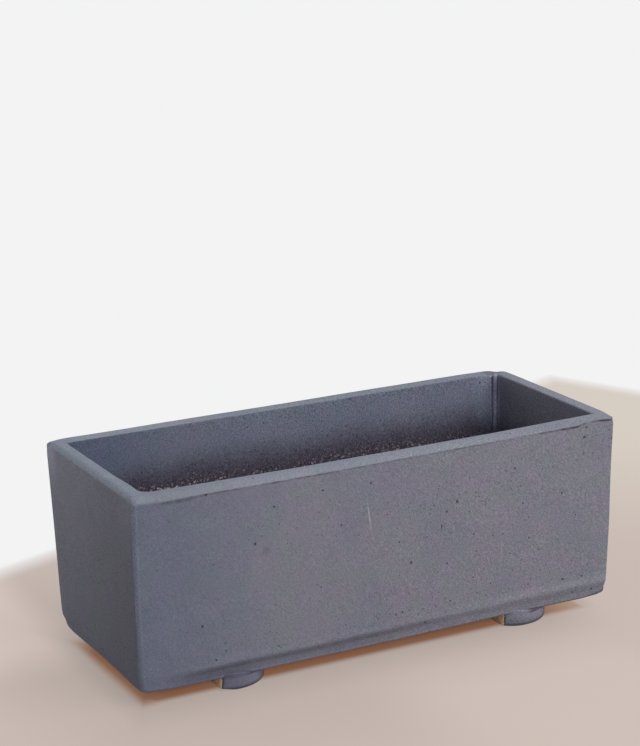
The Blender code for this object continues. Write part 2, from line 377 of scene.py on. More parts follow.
def crease_shade_share(points, above, strength):
    """Where shade is painted: under the lip, and over the slab's edge, most in the hollow's upper part."""
    x = points[..., 0]
    wide = 0.26 + 0.42 * bell(x, -99, 11) + 0.1 * smooth(x, 88, 96)
    under_lip = strength * (0.62 + 0.38 * smooth(x, 60, 100)) * bell(above, -0.15 - wide, wide)
    line = points * (1, 0, 0)
    z = points[..., 2] + 0.55 * plan_wobble(points, 22, 6)
    broken = 0.75 + 0.6 * wobble(line, 5, 18)
    share = smooth(x, -108, -86) * (1 - 0.62 * smooth(x, -10, 60))
    on_front = smooth(-points[..., 1], HALF_WIDTH - 5, HALF_WIDTH - 3)
    band = 0.3 * smooth(z, 6.8, 8.0) * fade(z, 11.4, 13.4)
    at_left = 0.16 * smooth(x, -112, -98) * fade(x, -78, -56) * fade(z, 8.5, 12.5)
    over_edge = share * (band + 0.26 * broken * bell(z, 10.8, 1.0)) + at_left
    return np.clip(under_lip + on_front * over_edge, 0, 1)


def rim_dip(points):
    """How far the rim sinks over the back right corner's coil and at its worn corners."""
    from_end = HALF_LENGTH - points[..., 0]
    from_back = BACK_Y - points[..., 1]
    near = bell((from_end - from_back - DIP_ASIDE) / math.sqrt(2), 0, DIP_WIDTH)
    near *= fade(from_end + from_back, 16, 26)
    dip = DIP_DEPTH * near * smooth(points[..., 2], RIM_Z - 4, RIM_Z - 1)
    for x, y, depth, reach in WORN_CORNERS:
        distance = np.hypot(points[..., 0] - x, points[..., 1] - y)
        dip += depth * bell(distance, 0, reach) * smooth(points[..., 2], RIM_Z - 6, RIM_Z - 1)
    return dip


def corner_fullness(side, z, columns):
    """How far the outer face stands out at each row and column."""
    _, _, first, last = SIDES[side]
    first, last = (np.interp(z, FULL_HEIGHTS, CORNER_FULL[corner]) for corner in (first, last))
    return along_side(columns, first, 0.0, last, reach=0.35)


def spaced(length, fine, coarse, fine_length):
    """Shares 0 to 1 of a length, in fine steps near both ends and coarse ones between."""
    ends = np.arange(0, fine_length, fine)
    middle = np.linspace(fine_length, length - fine_length, round((length - 2 * fine_length) / coarse))
    return np.concatenate([ends, middle, length - ends[::-1]])[:, None] / length


# The wall's section runs in rows from the seam up the outside, over the rim and down the inside
OUTER_SHARES = spaced(RIM_Z - SEAM_Z, 0.16, 0.8, 1.6)
INNER_SHARES = np.linspace(0, 1, 62)[1:, None]
ROUND_SHARES = np.linspace(0, 1, 11)[1:, None]
TOP_SHARES = np.linspace(0, 1, 7)[1:, None]
INSIDE_ROW = len(OUTER_SHARES) + len(ROUND_SHARES) + len(TOP_SHARES) + len(ROUND_SHARES) // 2


def wall_rows(side, columns):
    """A wall's section: for each row and column its inset from the outer face and its height."""
    _, _, first, last = SIDES[side]
    middle, middle_turn = RIM_EDGE[side]
    position = positions(columns)
    wall = WALL + along_side(columns, *(THICKER.get(place, 0.0) for place in (first, side, last)))
    if side == "front":
        at_left = fade(position, -0.88, -0.66)
        middle = middle + LIP_LOWER_LEFT * fade(position, -0.7, 0.3) + LIP_FALL_LEFT * at_left
        middle = middle - LIP_STEP * smooth(position, 0.79, 0.85)
        middle_turn = middle_turn - LIP_TURN_LEFT * at_left
    if side == "left":
        wall = wall + LEFT_SWELL * smooth(position, 0.3, 0.75) * fade(position, 0.86, 1.0)
    drop = along_side(columns, RIM_EDGE[first][0], middle, RIM_EDGE[last][0])
    turn = np.radians(along_side(columns, RIM_EDGE[first][1], middle_turn, RIM_EDGE[last][1]))
    radius = drop / (1 - np.sin(turn))
    flat = radius * np.cos(turn)
    outer_z = SEAM_Z + (RIM_Z - drop - SEAM_Z) * OUTER_SHARES
    turns = turn + (math.pi / 2 - turn) * ROUND_SHARES
    inner_turns = math.pi / 2 * (1 - ROUND_SHARES) + 0 * drop
    inner_z = RIM_Z - RIM_INNER - (RIM_Z - RIM_INNER - FLOOR_TOP) * INNER_SHARES + 0 * drop
    sections = (
        (0 * outer_z, outer_z),
        (flat - radius * np.cos(turns), RIM_Z - radius * (1 - np.sin(turns))),
        (flat + (wall - RIM_INNER - flat) * TOP_SHARES, RIM_Z + 0 * TOP_SHARES * drop),
        (wall - RIM_INNER * (1 - np.cos(inner_turns)), RIM_Z - RIM_INNER * (1 - np.sin(inner_turns))),
        (wall + 0 * inner_z, inner_z),
    )
    inset, z = (np.vstack(rows) for rows in zip(*sections))
    outside = fade(inset, 0.5 * WALL, 0.9 * WALL)
    inner = smooth(inset[:, :1], 0.3 * WALL, 0.7 * WALL)
    above = np.where(outside > 0.5, z - (RIM_Z - drop), 9)
    return {"inset": inset - outside * corner_fullness(side, z, columns), "z": z, "inner": inner, "above": above}


def make_walls():
    """The four walls, cut from one worked surface."""
    plain, above, starts = ring_grid(wall_rows, COLUMNS)
    strength = lip_strength(plain)
    relief = clay_relief(plain) + lip_relief(strength, above)
    outer_rows = slice(0, len(OUTER_SHARES))
    relief[outer_rows] += edge_relief(plain[outer_rows])
    worked = plain + normals_of(plain) * relief[..., None]
    worked[..., 2] -= rim_dip(plain)
    normals = normals_of(worked)
    crease_shade = crease_shade_share(plain, above, strength)
    crease_shade[INSIDE_ROW:] = 0
    rows, total = above.shape
    pieces = []
    for side in SIDES:
        count = column_count(COLUMNS[side])
        picked = (starts[side] + np.arange(count)) % total
        faces = strip_faces(worked[:, picked])
        slots = np.zeros((rows, count - 1), dtype=int)
        slots[INSIDE_ROW:-1] = 1
        slots = slots.reshape(-1).tolist() + [0, 0]
        shares = {"crease_shade": crease_shade[:, picked]}
        piece = make_mesh("clay_wall_" + side, worked[:, picked], faces, slots, normals[:, picked], shares)
        pieces.append((piece, "wall_" + side))
    return pieces


FLOOR_INNERMOST = HALF_WIDTH - 9
UNDER_ROWS = 24
OVER_ROWS = 20


def floor_rows(side, columns):
    """The floor slab's section: out along its underside, round its edge to the seam, then in over its top."""
    _, _, first, last = SIDES[side]
    high, deep = (
        along_side(columns, *(EDGE_ROUND[place][index] for place in (first, side, last)), EDGE_REACH[side])
        for index in (0, 1)
    )
    under = np.linspace(FLOOR_INNERMOST + 0 * deep, EDGE_LEAN + deep + 0.3, UNDER_ROWS)
    turns = np.linspace(math.pi / 2, 0, 11)[:, None]
    round_inset = EDGE_LEAN + deep * (1 - np.cos(turns))
    round_z = SLAB_BOTTOM + high * (1 - np.sin(turns))
    band_z = np.linspace(SLAB_BOTTOM + high, SEAM_Z + 0 * high, 27)[1:]
    band_inset = EDGE_LEAN * fade(band_z, SLAB_BOTTOM + high, SEAM_Z)
    over = np.linspace(1.0, FLOOR_INNERMOST, OVER_ROWS)[:, None] + 0 * deep
    inset = np.vstack([under, round_inset, band_inset, over])
    z = np.vstack([SLAB_BOTTOM + 0 * under, round_z, band_z, FLOOR_TOP + 0 * over])
    outside = fade(inset, 2, 20)
    full = outside * corner_fullness(side, z, columns)
    if side == "front":
        left = 1 - 0.85 * smooth(positions(columns), -0.2, 0.5)
        low = along_side(columns, 0.0, FRONT_EDGE_LOW * left, 0.0, reach=0.25) * fade(inset, 5, 14)
        z = z - low * fade(z, SLAB_BOTTOM, SLAB_BOTTOM + 4)
    return {"inset": inset - full, "z": z, "inner": 0 * inset[:, :1], "above": -RIM_Z + 0 * inset}


def make_floor():
    """The floor slab with its two drain holes."""
    plain, above, _ = ring_grid(floor_rows, FLOOR_COLUMNS)
    rows, total = above.shape
    plain = np.roll(plain, FLOOR_COLUMNS["left"] // 2 + CORNER_COLUMNS, axis=1)
    relief = clay_relief(plain)
    edge = slice(UNDER_ROWS, rows - OVER_ROWS)
    relief[edge] += edge_relief(plain[edge])
    worked = plain + normals_of(plain) * relief[..., None]
    faces = tube_faces(plain)[:-2] + ladder(total, 0, True) + ladder(total, (rows - 1) * total, False)
    crease_shade = crease_shade_share(plain, above, 0 * above)
    piece = make_mesh("clay_floor_slab", worked, faces, shares={"crease_shade": crease_shade})
    for name, sign in (("left", -1), ("right", 1)):
        cut_drain(piece, name, sign * DRAIN_X)
    return [(piece, "floor_slab")]


def ladder(count, base, flip):
    """Faces that close a long loop, as rungs from its one long side to the other."""
    faces = [[base, base + 1, base + count - 1]]
    for index in range(1, count // 2 - 1):
        faces.append([base + index, base + index + 1, base + count - index - 1, base + count - index])
    middle = base + count // 2
    faces.append([middle - 1, middle, middle + 1])
    return [face[::-1] for face in faces] if flip else faces


def cut_drain(piece, name, x):
    """A drain hole, its edges worn round."""
    turns = np.linspace(0, math.tau, 72, endpoint=False)
    wear = [(1 - math.sin(turn), 1 - math.cos(turn)) for turn in np.linspace(0, math.pi / 2, 6)]
    profile = [(2.4, SLAB_BOTTOM - 1.2)] + [(DRAIN_WEAR * out, SLAB_BOTTOM + DRAIN_WEAR * up) for out, up in wear]
    profile += [(DRAIN_WEAR * out, FLOOR_TOP - DRAIN_WEAR * up) for out, up in wear[::-1]] + [(2.4, FLOOR_TOP + 1.2)]
    centre = (x, MIDDLE_Y)
    grid = np.array([np.insert(centre + (DRAIN_RADIUS + out) * circle(turns), 2, z, axis=1) for out, z in profile])
    grid[..., :2] += 0.12 * wobble(grid, 5, 11)[..., None]
    drill = make_mesh("drill_" + name, grid, tube_faces(grid))
    cut = piece.modifiers.new("drain", "BOOLEAN")
    cut.operation = "DIFFERENCE"
    cut.solver = "EXACT"
    cut.object = drill
    bpy.context.view_layer.update()
    graph = bpy.context.evaluated_depsgraph_get()
    mesh = bpy.data.meshes.new_from_object(piece.evaluated_get(graph))
    piece.modifiers.clear()
    piece.data = mesh
    mesh.shade_smooth()
    mesh.set_sharp_from_angle(angle=math.radians(42))
    bpy.data.objects.remove(drill, do_unlink=True)


def curve_points(start, pull, end, count):
    """Points of the curve from start to end that leans towards pull."""
    share = np.linspace(0, 1, count)[:, None]
    start, pull, end = (np.array(point) for point in (start, pull, end))
    return start * (1 - share) ** 2 + pull * 2 * share * (1 - share) + end * share**2


def make_floor_coils():
    """The coils smoothed along the foot of each wall, their edges sunk in the slabs."""
    tip = FLOOR_COIL + 1.2
    front = curve_points((-SUNK, tip), (FLOOR_COIL_PULL, FLOOR_COIL_PULL), (tip, -SUNK), 22)
    section = np.vstack([front, [(-SUNK, -SUNK)]])
    worked_rows = np.zeros((len(section), 1))
    worked_rows[1:21] = 1
    pieces = []
    for side in SIDES:
        _, out, first, last = SIDES[side]
        inset, z = WALL + section[:, :1], FLOOR_TOP + section[:, 1:]
        rounding = [INNER_ROUND[corner] + 0 * inset for corner in (first, last)]
        grid = side_grid(side, inset, z, rounding, COLUMNS[side] // 2)
        swell = 0.45 * wobble(grid, 17, 12) + 0.22 * wobble(grid, 5, 13)
        inward = np.array([-out[0], -out[1], 1.0]) / math.sqrt(2)
        grid = grid + (worked_rows * swell)[..., None] * inward
        faces = [face[::-1] for face in strip_faces(grid)]
        pieces.append((make_mesh("clay_floor_coil_" + side, grid, faces), "floor_coil_" + side))
    return pieces


def bead_section(coil, scale):
    """Distances from the end wall and the side wall round a bead, from its edge on the end wall on."""
    radius = coil["bead"] * scale
    turns = np.radians(np.linspace(141, -80, 16))
    front = (coil["from_end"], coil["from_side"]) + radius * circle(turns)
    back = [(front[-1, 0], -SUNK), (-SUNK, -SUNK), (-SUNK, front[0, 1])]
    return np.vstack([front, back])


def fillet_section(corner, coil, scale):
    """Distances from the end wall and the side wall round a pressed-in coil, likewise."""
    size = INNER_ROUND[corner] + coil["reach"] * scale
    middle = size / 2 + coil["swell"] * scale
    front = curve_points((-0.05, size), (middle, middle), (size, -0.05), 16)
    back = [(size - 0.2, -SUNK), (-SUNK, -SUNK), (-SUNK, size - 0.2)]
    return np.vstack([front, back])


def make_corner_coils():
    """The coils pressed down the inner corners, rounded off at the top."""
    pieces = []
    for corner, (sign_x, sign_y) in CORNERS.items():
        coil = CORNER_COILS[corner]
        tip = coil.get("bead") or coil["reach"]
        top = RIM_Z - coil["below_rim"]
        levels = [(z, 1.0) for z in np.arange(FLOOR_TOP + 1.0, top - tip, 0.8)]
        for turn in np.linspace(0, math.radians(86), 9):
            levels.append((top - tip * (1 - math.sin(turn)), math.cos(turn)))
        rows = []
        for z, scale in levels:
            section = bead_section(coil, scale) if "bead" in coil else fillet_section(corner, coil, scale)
            half_length, half_width = half_sizes(z)
            x = sign_x * (half_length - WALL - section[:, 0])
            y = sign_y * (half_width - WALL - section[:, 1])
            rows.append(np.stack([x, y, z + 0 * x], axis=-1))
        grid = fired(np.array(rows))
        swell = 0.2 * wobble(grid, 9, 14) + 0.12 * wobble(grid, 3, 15)
        swell[:, 16:] = 0
        grid = grid + swell[..., None] * np.array([-sign_x, -sign_y, 0]) / math.sqrt(2)
        faces = tube_faces(grid)
        if sign_x * sign_y > 0:
            faces = [face[::-1] for face in faces]
        pieces.append((make_mesh("clay_corner_coil_" + corner, grid, faces), "corner_coil_" + corner))
    return pieces


def foot_outline(radius, cut):
    """Plan of a foot about the middle of its round pad, sliced off at x = -cut."""
    corner_x = FOOT_CUT_ROUND - cut
    corner_y = math.sqrt((radius - FOOT_CUT_ROUND) ** 2 - corner_x**2)
    turn_back = math.atan2(corner_y, corner_x)
    round_turns = np.linspace(-turn_back, turn_back, 96)
    corner_turns = np.linspace(turn_back, math.pi, 10)[1:]
    corner = (corner_x, corner_y) + FOOT_CUT_ROUND * circle(corner_turns)
    cut_side = np.column_stack([np.full(28, -cut), np.linspace(corner_y, -corner_y, 30)[1:-1]])
    return np.vstack([radius * circle(round_turns), corner, cut_side, corner[::-1] * (1, -1)])


def foot_levels(top):
    """(inset, height) up the side of a foot."""
    turns = np.linspace(0, math.pi / 2, 6)
    levels = [(FOOT_SOLE_ROUND * (1 - math.sin(turn)), FOOT_SOLE_ROUND * (1 - math.cos(turn))) for turn in turns]
    levels += [(0.0, z) for z in np.linspace(FOOT_SOLE_ROUND, top - FOOT_TOP_ROUND, 8)[1:-1]]
    levels += [(FOOT_TOP_ROUND * (1 - math.cos(turn)), top - FOOT_TOP_ROUND * (1 - math.sin(turn))) for turn in turns]
    return levels


def make_feet():
    """The cut pads under the floor slab, smeared up on to its edge beside their cut ends."""
    pieces = []
    for corner, (_, sign_y) in CORNERS.items():
        low, high = (np.array(point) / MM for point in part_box("foot_" + corner))
        radius = (high[1] - low[1]) / 2
        further, slant, lift = FOOT_CUT_MORE.get(corner, (0.0, 0.0, 0.3))
        cut = high[0] - low[0] - radius + further
        levels = foot_levels(SLAB_BOTTOM + 0.4)
        grid = np.array([np.insert(foot_outline(radius - inset, cut), 2, z, axis=1) for inset, z in levels])
        from_cut = grid[..., 0] + cut
        smear = 1.3 * fade(from_cut, 5, 17) - 0.45 * smooth(from_cut, 16, 24)
        grid[..., 2] += smear * smooth(grid[..., 2], 2.5, SLAB_BOTTOM)
        low_down = fade(grid[..., 2], 0, SLAB_BOTTOM)
        grid[..., 0] -= slant * fade(from_cut, 0, 6) * low_down
        grid[..., 2] += lift * fade(from_cut, 0, 7) * low_down
        away = unit(grid * (1, 1, 0))
        if sign_y > 0:
            grid[..., :2] *= -1
            away *= -1
        grid[..., 0] += high[0] - radius if sign_y < 0 else low[0] + radius
        grid[..., 1] += (low[1] + high[1]) / 2
        swell = 0.2 * wobble(grid, 9, 16) + 0.12 * wobble(grid, 3, 17)
        grid += away * (swell * smooth(grid[..., 2], 0, 1.5))[..., None]
        piece = make_mesh("clay_foot_" + corner, grid, tube_faces(grid), shares={"from_cut": from_cut})
        pieces.append((piece, "foot_" + corner))
    return pieces


class Value:
    """A number, a place or a colour in a shader, and what can be worked out from it."""

    def __init__(self, shader, socket):
        self.shader = shader
        self.socket = socket

    def math(self, operation, other=0.0):
        return self.shader.made("ShaderNodeMath", {0: self, 1: other}, operation=operation)

    def __add__(self, other):
        return self.math("ADD", other)

    def __sub__(self, other):
        return self.math("SUBTRACT", other)

    def __mul__(self, other):
        return self.math("MULTIPLY", other)

    def larger(self, other):
        return self.math("MAXIMUM", other)

    def step(self, low, high, start=0, end=1):
        """start below low, end above high and a soft step between."""
        values = {"Value": self, "From Min": low, "From Max": high, "To Min": start, "To Max": end}
        return self.shader.made("ShaderNodeMapRange", values, interpolation_type="SMOOTHSTEP")

    def fade(self, low, high):
        return self.step(low, high, 1, 0)

    def vector(self, operation, other=(0, 0, 0)):
        values = {0: self, "Scale" if operation == "SCALE" else 1: other}
        output = "Value" if operation in ("DOT_PRODUCT", "LENGTH") else "Vector"
        return self.shader.made("ShaderNodeVectorMath", values, output, operation=operation)

    def split(self):
        parts = self.shader.node("ShaderNodeSeparateXYZ", {0: self}).outputs
        return [Value(self.shader, part) for part in parts]

    def noise(self, size, detail=2, roughness=0.5, output=0):
        values = {"Vector": self, "Scale": 1 / size, "Detail": detail, "Roughness": roughness}
        return self.shader.made("ShaderNodeTexNoise", values, output)

    def roughened(self, size, reach):
        """The place moved about by up to this reach, so that round marks turn out uneven."""
        moves = self.noise(size, output="Color").vector("SUBTRACT", (0.5, 0.5, 0.5))
        return self.vector("ADD", moves.vector("SCALE", 2 * reach))

    def specks(self, cell, radius, chance, spread):
        """1 inside small round specks, one in some cells of this size."""
        cells = self.shader.node("ShaderNodeTexVoronoi", {"Vector": self, "Scale": 1 / cell, "Randomness": 1})
        distance, colour = (Value(self.shader, cells.outputs[key]) for key in ("Distance", "Color"))
        red, green, _ = colour.split()
        size = green.step(0, 1, radius * (1 - spread), radius * (1 + spread))
        return red.math("LESS_THAN", chance) * (size - distance * cell).step(0, 0.16)

    def spot(self, x, z, wide, high, soft=0.5):
        """1 inside a spot on the front face of this half width and half height, with a soft edge."""
        scaled = self.vector("SUBTRACT", (x, 0, z)).vector("MULTIPLY", (1 / wide, 0, 1 / high))
        return scaled.vector("LENGTH").fade(1 - soft, 1)

    def between(self, first, second):
        """The first colour where this share is 0, the second where it is 1."""
        return self.shader.mix(self, first, second)

    def mixed(self, share, other):
        return self.shader.mix(share, self, other)

    def tinted(self, other):
        return self.shader.mix(1, self, other, "MULTIPLY")

    def shaded(self, level):
        """The colour made lighter or darker by this factor."""
        return self.tinted(self.shader.made("ShaderNodeCombineColor", {0: level, 1: level, 2: level}))


class Shader:
    """The nodes of one material, or of the world."""

    def __init__(self, owner):
        self.owner = owner
        owner.use_nodes = True
        self.tree = owner.node_tree
        self.tree.nodes.clear()

    def node(self, kind, values=None, **settings):
        """A new node. Each value is linked to its input, or set there if it is a plain one."""
        made = self.tree.nodes.new(kind)
        for key, value in settings.items():
            setattr(made, key, value)
        for key, value in (values or {}).items():
            if isinstance(value, Value):
                self.tree.links.new(value.socket, made.inputs[key])
            else:
                made.inputs[key].default_value = value
        return made

    def made(self, kind, values=None, output=0, **settings):
        """One output of a new node."""
        return Value(self, self.node(kind, values, **settings).outputs[output])

    def mix(self, share, first, second, blend="MIX"):
        values = {0: share, 6: first, 7: second}
        return self.made("ShaderNodeMix", values, 2, data_type="RGBA", blend_type=blend)

    def place(self):
        """Where a point is, in millimetres of the pot's own frame."""
        return self.made("ShaderNodeTexCoord", output="Object").vector("SCALE", 1 / MM)

    def facing(self):
        return self.made("ShaderNodeNewGeometry", output="Normal").split()

    def share(self, name):
        """A named value of the mesh's points."""
        return self.made("ShaderNodeAttribute", output="Fac", attribute_name=name)

    def seen(self, *rays):
        """1 for the camera's rays and for these kinds."""
        path = self.node("ShaderNodeLightPath").outputs
        seen = Value(self, path["Is Camera Ray"])
        for ray in rays:
            seen = seen.larger(Value(self, path[ray]))
        return seen

    def finish(self, colour, height, roughness, specular=0.3):
        """The finished material, its height in millimetres taken as bumps."""
        bump = self.made("ShaderNodeBump", {"Strength": 1, "Distance": MM, "Height": height})
        values = {"Base Color": colour, "Roughness": roughness, "Normal": bump, "Specular IOR Level": specular}
        self.node("ShaderNodeOutputMaterial", {0: self.made("ShaderNodeBsdfPrincipled", values)})
        return self.owner


COAT_LEFT_SHADE = srgb(97, 103, 120)
COAT_COOL = srgb(111, 114, 128)
COAT_WARM = srgb(120, 119, 130)
COAT_LIGHT = srgb(128, 129, 141)
COAT_HUES = srgb(255, 251, 254), srgb(249, 255, 250)
RIM_LIGHT_TINTS = srgb(255, 250, 236), srgb(251, 254, 250)
END_SHADE_TINT = srgb(255, 246, 238)
INSIDE_LIGHT_TINTS = srgb(239, 244, 255), srgb(255, 252, 250)
FOOT_TINT = srgb(228, 227, 236)
FOOT_EDGE_AND_SHADE = srgb(50, 44, 54)
PIT = srgb(50, 49, 60)
CREASE_SHADE = srgb(54, 52, 64)
PALE = srgb(160, 160, 166)
DARK_CLAY = srgb(42, 38, 50), srgb(84, 76, 90), srgb(206, 188, 188)
TAN_CLAY = srgb(244, 192, 146), srgb(255, 220, 178), srgb(226, 206, 176)
CLAY_HOLE = srgb(26, 22, 26)

# Marks on the front face, in millimetres along the pot and above the table: pits with their sizes
PITS = (
    (-64.3, 65.1, 0.85), (-55.0, 80.4, 0.7), (-31.8, 83.9, 0.6), (-22.6, 66.2, 0.6), (-89.5, 32.2, 0.75),
    (-83.3, 15.3, 0.7), (-32.5, 39.1, 0.5), (-8.0, 83.2, 0.6), (12.8, 42.1, 0.75), (8.5, 19.1, 0.6),
    (6.6, 53.0, 0.55), (33.5, 19.6, 0.55), (36.2, 66.8, 0.9), (30.9, 63.1, 0.6), (66.7, 77.6, 0.7),
    (72.5, 51.7, 0.55), (71.4, 60.0, 0.55), (92.7, 61.1, 0.65), (94.5, 18.3, 0.75), (105.0, 18.1, 0.65),
    (104.9, 91.0, 0.75), (104.1, 86.3, 0.8), (118.0, 87.7, 0.45), (119.6, 83.6, 0.7), (-86.7, 91.2, 0.8),
)
PALE_SPOTS = ((37.4, 65.0, 0.7), (-62.2, 57.0, 1.3), (-29.2, 10.8, 0.55), (-17.9, 24.7, 0.4), (61.4, 41.5, 0.6))
SMUDGE = (-58.6, 61.4, 3.6, 3.6)
SCRATCH = (-8.4, 66.5, 0.55, 12.5)
SCRATCH_LEAN = 0.139
DASH = (28.4, 56.1, 0.4, 2.0)
RUB = (60.6, 40.0, 0.5, 7.5)


def front_marks(place):
    """(pits, pale marks, smudge): the single marks that the front face carries."""
    _, y, z = place.split()
    front = y.math("LESS_THAN", -43)
    uneven = place.roughened(0.9, 0.45)
    pits = uneven.spot(*DASH, 0.7)
    for x, height, size in PITS:
        pits = pits.larger(uneven.spot(x, height, size, size, 0.6))
    leaning = place.shader.made("ShaderNodeCombineXYZ", {0: (z - SCRATCH[1]) * SCRATCH_LEAN})
    scratch = place.vector("ADD", leaning).spot(*SCRATCH, 0.8) * z.step(58, 71, 0.4, 1)
    scratch = scratch * place.noise(1.5).step(0.3, 0.55, 0.45, 1)
    pale = scratch.larger(uneven.spot(*RUB, 0.8) * 0.3)
    for x, height, size in PALE_SPOTS:
        pale = pale.larger(uneven.spot(x, height, size, size, 0.8) * (0.65 if size < 1 else 0.22))
    return [mask * front for mask in (pits, pale, uneven.spot(*SMUDGE, 0.8))]


def coat(place, coarser=0.0):
    """(colour, height in millimetres, roughness) of the matte charcoal coat over coarse clay."""
    x, _, _ = place.split()
    # Painted light and shade: besides its random patches, the coat is warmer towards the right end and darker and
    # cooler towards the left end.
    patches = place.noise(30, 1).step(0.4, 0.6) * 0.5 + x.step(-110, 20, 0, 0.5)
    colour = patches.between(COAT_COOL, COAT_WARM).mixed(x.fade(-122, -52), COAT_LEFT_SHADE)
    blotches = place.noise(9, 3, 0.6).step(0.35, 0.68)
    hue = place.noise(11).step(0.38, 0.62).between(*COAT_HUES)
    colour = colour.mixed(blotches * 0.16, COAT_LIGHT).tinted(hue)
    grain = place.noise(0.7, 3, 0.75).step(0.3, 0.7, -1, 1)
    strength = x.step(-90, 60, 0.15, 0.25) + x.step(-119, -117.5, 0.1, 0) + coarser
    mapping = {"Vector": place, "Rotation": (0, math.radians(46), 0), "Scale": (1.7, 1, 0.45)}
    slanted = place.shader.made("ShaderNodeMapping", mapping, vector_type="TEXTURE")
    strokes = slanted.noise(1, 2, 0.6).step(0.32, 0.68, -1, 1) * x.step(-70, 40, 0.06, 0.12)
    colour = colour.shaded(grain * strength + 1).shaded(strokes + 1)
    uneven = place.roughened(0.8, 0.3)
    pits = uneven.specks(5, 0.42, 0.36, 0.6)
    pinholes = uneven.specks(1.7, 0.26, 0.32, 0.7)
    pale = uneven.specks(3, 0.32, 0.28, 0.6)
    rightward = x.step(-80, 40, 0.5, 1)
    colour = colour.mixed(pits * rightward * 0.72, PIT).mixed(pinholes * rightward * 0.66, PIT)
    colour = colour.mixed(pale * rightward * 0.34, PALE)
    height = grain * 0.016 + blotches * 0.035 + strokes * 0.16 - pits * 0.22 - pinholes * 0.1
    return colour, height, blotches.step(0, 1, 0.72, 0.84)


def bare_clay(place, colours, pale_share, shown=1.0):
    """(colour, height) of coarse unglazed clay. shown is how much of its pale grog shows."""
    dark, middle, pale = colours
    ground = place.noise(1.1, 4, 0.8).step(0.36, 0.64).between(dark, middle)
    uneven = place.roughened(0.6, 0.4)
    bits = uneven.specks(0.95, 0.36, pale_share, 0.8) * place.noise(1.4, 3, 0.7).step(0.4, 0.62, 0.12, 1)
    holes = uneven.specks(1.7, 0.45, 0.4, 0.5)
    colour = ground.mixed(bits * shown, pale).mixed(holes * 0.6, CLAY_HOLE)
    return colour, place.noise(0.9, 4, 0.7) * 0.22 + bits * 0.08 - holes * 0.25


def marked_coat(place):
    """The coat as it is outside: with its marks, painted shade in its creases, under the front's edge and over its
    left end, and painted light on its rim, its front left corner and a ridge.
    """
    colour, height, roughness = coat(place)
    x, y, z = place.split()
    to_x, to_y, to_z = place.shader.facing()
    # Painted light on the rim's upward faces, strongest at the left and tinted by the light, with painted shade at
    # its front left, over its back right corner and on its outer edges.
    left_front = x.step(-118, -108) * x.fade(-100, -40) * y.step(-44, -38, -0.26, 0)
    back_corner_dim = x.step(107, 110, 0, -0.4) * y.step(40.5, 43.5) * x.fade(115.5, 118)
    outer = to_x.larger(to_y).step(0.15, 0.6, 0, -0.35) + to_y.step(-0.5, -0.15, -0.14, 0) * x.step(20, 90)
    lit_rim = colour.shaded(x.step(-116, -30, 1.66, 1.18) + left_front + back_corner_dim + outer)
    lit_rim = lit_rim.tinted(x.step(-116, -30).between(*RIM_LIGHT_TINTS))
    colour = colour.mixed(to_z.step(0.15, 0.55) * z.step(88, 92), lit_rim)
    # Painted shade over the left end: darker towards the front, lighter towards the top, with a warmer tint.
    left_end = to_x.fade(-0.998, -0.93)
    darker = y.step(-46, 30, -0.2, 0) + z.step(40, 92, 0, 0.14) + z.step(74, 90, 0, 0.22) * y.fade(-44, -20)
    upright = to_z.fade(0.2, 0.5)
    # Painted light near the top of the left end's back corner.
    far_corner_light = y.step(36, 46) * z.step(66, 92) * to_x.step(-0.6, -0.2, 0.62, 0) * upright
    near_front = y.fade(-45, -41)
    # Painted shade on the downward-facing faces near the front's bottom edge.
    under = to_z.step(-0.22, -0.04, -0.4, 0) * near_front * z.fade(5, 12) * x.step(30, 80, 0.2, 1)
    colour = colour.shaded(left_end * darker + 1).shaded(far_corner_light + 1).shaded(under + 1)
    colour = colour.mixed(left_end, colour.tinted(END_SHADE_TINT))
    # Painted light on the front left corner's rounding, more higher up, and a painted highlight along the ridge over
    # the slab's edge at the right.
    corner = to_x.step(-0.999, -0.93) * to_x.fade(-0.5, -0.06) * y.fade(-45, -42) * upright
    ridge = z.step(12.6, 14.6) * z.fade(15.6, 18.6) * x.step(30, 80, 0, 0.13) * near_front
    colour = colour.shaded(corner * z.step(10, 60, 0.34, 0.5) + ridge + 1)
    pits, pale, smudge = front_marks(place)
    colour = colour.mixed(smudge * 0.2, PIT).mixed(pits * 0.8, PIT).mixed(pale * 0.8, PALE)
    # Painted shade under the front lip and over the slab's edge.
    colour = colour.mixed(place.shader.share("crease_shade"), CREASE_SHADE)
    return colour, height - pits * 0.35 - pale * 0.05, roughness


def outside_material():
    """The charcoal coat as it is on the outer faces and the rim."""
    shader = Shader(bpy.data.materials.new("charcoal_coat"))
    return shader.finish(*marked_coat(shader.place()))


